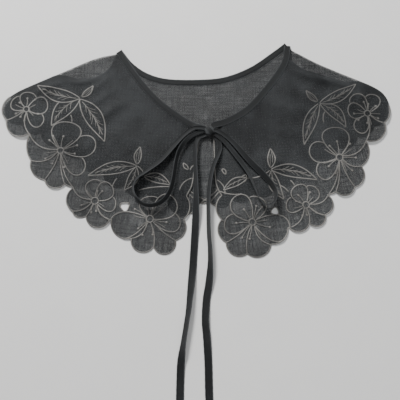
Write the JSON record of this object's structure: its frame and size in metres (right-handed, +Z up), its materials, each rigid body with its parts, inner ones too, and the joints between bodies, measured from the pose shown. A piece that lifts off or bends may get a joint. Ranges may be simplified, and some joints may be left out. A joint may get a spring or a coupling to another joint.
{
  "type": "lace collar",
  "caption": "Sheer embroidered shoulder collar laid flat, with a scalloped flower edge and a bound neck whose tape ties in a bow with long ends.",
  "frame": {"origin": "on the surface that the collar lies on, under the middle of the cloth and neck tape", "axes": "+X to the right across both shoulders, +Y from the front hem to the back neckline, +Z up off the surface"},
  "size_m": [0.451, 0.4365, 0.0113],
  "materials": {
    "sheer": "sheer black organza",
    "tape": "folded black woven tape",
    "thread": "taupe satin-stitch embroidery"
  },
  "bodies": {
    "root": {"back_panel": "sheer", "front_left": "sheer", "front_right": "sheer", "binding_back": "tape", "binding_front_left": "tape", "binding_front_right": "tape", "bow_knot": "tape", "bow_loop_left": "tape", "bow_loop_right": "tape", "tie_end_left": "tape", "tie_end_right": "tape"}
  },
  "joints": []
}
